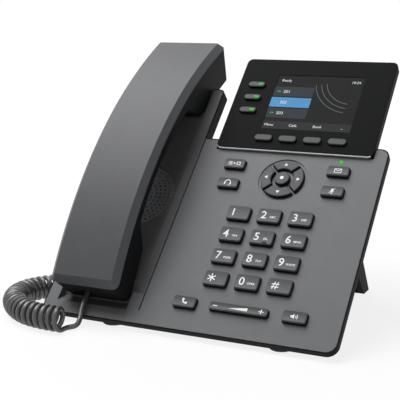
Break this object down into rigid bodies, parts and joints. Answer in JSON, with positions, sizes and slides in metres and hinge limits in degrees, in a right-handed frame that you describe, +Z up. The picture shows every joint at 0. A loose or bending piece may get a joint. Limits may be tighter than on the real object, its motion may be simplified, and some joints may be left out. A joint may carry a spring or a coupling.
{
  "type": "desk IP phone",
  "caption": "Corded desk phone with a tilted key panel, raised colour display, handset on a left cradle with a curly cord, and a rear stand.",
  "frame": {"origin": "middle of the phone's own box on the table, without the cord", "axes": "+X to the user's right, +Y away from the user, +Z up"},
  "size_m": [0.2146, 0.1757, 0.1576],
  "materials": {
    "grey_plastic": "fine matt texture",
    "handset_grey": "satin",
    "key_grey": "matt caps with pale marks",
    "pill_grey": "satin",
    "black_plastic": "matt",
    "gloss_black": "gloss",
    "screen_glass": "lit screen behind a clear face",
    "circuit_board": "solder mask",
    "silicone": "matt",
    "rubber": "matt",
    "dark_steel": "plain",
    "lamp_lens": "lit lens",
    "clear_plug": "smooth",
    "cord_black": "satin"
  },
  "bodies": {
    "base": {"rear_housing": "black_plastic", "face_plate": "grey_plastic", "speaker_grille": "grey_plastic", "loudspeaker": "dark_steel", "display_housing": "black_plastic", "display_cover": "gloss_black", "lcd_module": "screen_glass", "display_board": "circuit_board", "main_board": "circuit_board", "key_mat": "silicone", "stand": "black_plastic", "rubber_feet": "rubber", "housing_screws": "dark_steel", "network_jacks": "black_plastic", "handset_jacks": "black_plastic", "power_jack": "black_plastic", "message_lamp": "lamp_lens", "base_plug": "clear_plug", "cord_lead": "cord_black", "cord_coil": "cord_black", "cord_tail": "cord_black"},
    "handset": {"handset_cover": "handset_grey", "handset_shell": "black_plastic", "receiver_capsule": "dark_steel", "microphone": "dark_steel", "handset_weight": "dark_steel", "handset_plug": "clear_plug"},
    "hook": {"hook_plunger": "black_plastic"},
    "key_1": {"key_1": "key_grey"},
    "key_2": {"key_2": "key_grey"},
    "key_3": {"key_3": "key_grey"},
    "key_4": {"key_4": "key_grey"},
    "key_5": {"key_5": "key_grey"},
    "key_6": {"key_6": "key_grey"},
    "key_7": {"key_7": "key_grey"},
    "key_8": {"key_8": "key_grey"},
    "key_9": {"key_9": "key_grey"},
    "key_star": {"key_star": "key_grey"},
    "key_0": {"key_0": "key_grey"},
    "key_hash": {"key_hash": "key_grey"},
    "key_transfer": {"key_transfer": "key_grey"},
    "key_headset": {"key_headset": "key_grey"},
    "key_message": {"key_message": "key_grey"},
    "key_mute": {"key_mute": "key_grey"},
    "key_call": {"key_call": "key_grey"},
    "key_speaker": {"key_speaker": "key_grey"},
    "key_volume": {"key_volume": "key_grey"},
    "key_up": {"key_up": "key_grey"},
    "key_down": {"key_down": "key_grey"},
    "key_left": {"key_left": "key_grey"},
    "key_right": {"key_right": "key_grey"},
    "key_ok": {"key_ok": "key_grey"},
    "key_line_1": {"key_line_1": "pill_grey"},
    "key_line_2": {"key_line_2": "pill_grey"},
    "key_line_3": {"key_line_3": "pill_grey"},
    "key_soft_1": {"key_soft_1": "pill_grey"},
    "key_soft_2": {"key_soft_2": "pill_grey"},
    "key_soft_3": {"key_soft_3": "pill_grey"},
    "key_soft_4": {"key_soft_4": "pill_grey"}
  },
  "joints": [
    {"name": "handset_lift", "type": "slide", "parent": "base", "child": "handset", "axis": [0, -0.6997, 0.7145], "range_m": [0, 0.08]},
    {"name": "hook_rise", "type": "slide", "parent": "base", "child": "hook", "axis": [0, -0.6997, 0.7145], "range_m": [0, 0.003]},
    {"name": "1_press", "type": "slide", "parent": "base", "child": "key_1", "axis": [0, 0.6997, -0.7145], "range_m": [0, 0.001], "stiffness_N_per_m": 400, "springref_m": -0.0003},
    {"name": "2_press", "type": "slide", "parent": "base", "child": "key_2", "axis": [0, 0.6997, -0.7145], "range_m": [0, 0.001], "stiffness_N_per_m": 400, "springref_m": -0.0003},
    {"name": "3_press", "type": "slide", "parent": "base", "child": "key_3", "axis": [0, 0.6997, -0.7145], "range_m": [0, 0.001], "stiffness_N_per_m": 400, "springref_m": -0.0003},
    {"name": "4_press", "type": "slide", "parent": "base", "child": "key_4", "axis": [0, 0.6997, -0.7145], "range_m": [0, 0.001], "stiffness_N_per_m": 400, "springref_m": -0.0003},
    {"name": "5_press", "type": "slide", "parent": "base", "child": "key_5", "axis": [0, 0.6997, -0.7145], "range_m": [0, 0.001], "stiffness_N_per_m": 400, "springref_m": -0.0003},
    {"name": "6_press", "type": "slide", "parent": "base", "child": "key_6", "axis": [0, 0.6997, -0.7145], "range_m": [0, 0.001], "stiffness_N_per_m": 400, "springref_m": -0.0003},
    {"name": "7_press", "type": "slide", "parent": "base", "child": "key_7", "axis": [0, 0.6997, -0.7145], "range_m": [0, 0.001], "stiffness_N_per_m": 400, "springref_m": -0.0003},
    {"name": "8_press", "type": "slide", "parent": "base", "child": "key_8", "axis": [0, 0.6997, -0.7145], "range_m": [0, 0.001], "stiffness_N_per_m": 400, "springref_m": -0.0003},
    {"name": "9_press", "type": "slide", "parent": "base", "child": "key_9", "axis": [0, 0.6997, -0.7145], "range_m": [0, 0.001], "stiffness_N_per_m": 400, "springref_m": -0.0003},
    {"name": "star_press", "type": "slide", "parent": "base", "child": "key_star", "axis": [0, 0.6997, -0.7145], "range_m": [0, 0.001], "stiffness_N_per_m": 400, "springref_m": -0.0003},
    {"name": "0_press", "type": "slide", "parent": "base", "child": "key_0", "axis": [0, 0.6997, -0.7145], "range_m": [0, 0.001], "stiffness_N_per_m": 400, "springref_m": -0.0003},
    {"name": "hash_press", "type": "slide", "parent": "base", "child": "key_hash", "axis": [0, 0.6997, -0.7145], "range_m": [0, 0.001], "stiffness_N_per_m": 400, "springref_m": -0.0003},
    {"name": "transfer_press", "type": "slide", "parent": "base", "child": "key_transfer", "axis": [0, 0.6997, -0.7145], "range_m": [0, 0.001], "stiffness_N_per_m": 400, "springref_m": -0.0003},
    {"name": "headset_press", "type": "slide", "parent": "base", "child": "key_headset", "axis": [0, 0.6997, -0.7145], "range_m": [0, 0.001], "stiffness_N_per_m": 400, "springref_m": -0.0003},
    {"name": "message_press", "type": "slide", "parent": "base", "child": "key_message", "axis": [0, 0.6997, -0.7145], "range_m": [0, 0.001], "stiffness_N_per_m": 400, "springref_m": -0.0003},
    {"name": "mute_press", "type": "slide", "parent": "base", "child": "key_mute", "axis": [0, 0.6997, -0.7145], "range_m": [0, 0.001], "stiffness_N_per_m": 400, "springref_m": -0.0003},
    {"name": "call_press", "type": "slide", "parent": "base", "child": "key_call", "axis": [0, 0.6997, -0.7145], "range_m": [0, 0.001], "stiffness_N_per_m": 400, "springref_m": -0.0003},
    {"name": "speaker_press", "type": "slide", "parent": "base", "child": "key_speaker", "axis": [0, 0.6997, -0.7145], "range_m": [0, 0.001], "stiffness_N_per_m": 400, "springref_m": -0.0003},
    {"name": "volume_rock", "type": "hinge", "parent": "base", "child": "key_volume", "pos_m": [0.03165, -0.05862, 0.01485], "axis": [0, 0.7145, 0.6997], "range_deg": [-1.8, 1.8], "stiffness_Nm_per_rad": 0.43},
    {"name": "up_press", "type": "slide", "parent": "base", "child": "key_up", "axis": [0, 0.6997, -0.7145], "range_m": [0, 0.001], "stiffness_N_per_m": 400, "springref_m": -0.0003},
    {"name": "down_press", "type": "slide", "parent": "base", "child": "key_down", "axis": [0, 0.6997, -0.7145], "range_m": [0, 0.001], "stiffness_N_per_m": 400, "springref_m": -0.0003},
    {"name": "left_press", "type": "slide", "parent": "base", "child": "key_left", "axis": [0, 0.6997, -0.7145], "range_m": [0, 0.001], "stiffness_N_per_m": 400, "springref_m": -0.0003},
    {"name": "right_press", "type": "slide", "parent": "base", "child": "key_right", "axis": [0, 0.6997, -0.7145], "range_m": [0, 0.001], "stiffness_N_per_m": 400, "springref_m": -0.0003},
    {"name": "ok_press", "type": "slide", "parent": "base", "child": "key_ok", "axis": [0, 0.6997, -0.7145], "range_m": [0, 0.001], "stiffness_N_per_m": 400, "springref_m": -0.0003},
    {"name": "line_1_press", "type": "slide", "parent": "base", "child": "key_line_1", "axis": [0, 0.6997, -0.7145], "range_m": [0, 0.001], "stiffness_N_per_m": 400, "springref_m": -0.0003},
    {"name": "line_2_press", "type": "slide", "parent": "base", "child": "key_line_2", "axis": [0, 0.6997, -0.7145], "range_m": [0, 0.001], "stiffness_N_per_m": 400, "springref_m": -0.0003},
    {"name": "line_3_press", "type": "slide", "parent": "base", "child": "key_line_3", "axis": [0, 0.6997, -0.7145], "range_m": [0, 0.001], "stiffness_N_per_m": 400, "springref_m": -0.0003},
    {"name": "soft_1_press", "type": "slide", "parent": "base", "child": "key_soft_1", "axis": [0, 0.6997, -0.7145], "range_m": [0, 0.001], "stiffness_N_per_m": 400, "springref_m": -0.0003},
    {"name": "soft_2_press", "type": "slide", "parent": "base", "child": "key_soft_2", "axis": [0, 0.6997, -0.7145], "range_m": [0, 0.001], "stiffness_N_per_m": 400, "springref_m": -0.0003},
    {"name": "soft_3_press", "type": "slide", "parent": "base", "child": "key_soft_3", "axis": [0, 0.6997, -0.7145], "range_m": [0, 0.001], "stiffness_N_per_m": 400, "springref_m": -0.0003},
    {"name": "soft_4_press", "type": "slide", "parent": "base", "child": "key_soft_4", "axis": [0, 0.6997, -0.7145], "range_m": [0, 0.001], "stiffness_N_per_m": 400, "springref_m": -0.0003}
  ],
  "couplings": [
    {"joint": "hook_rise", "follows": "handset_lift", "ratio": 0.0375}
  ]
}
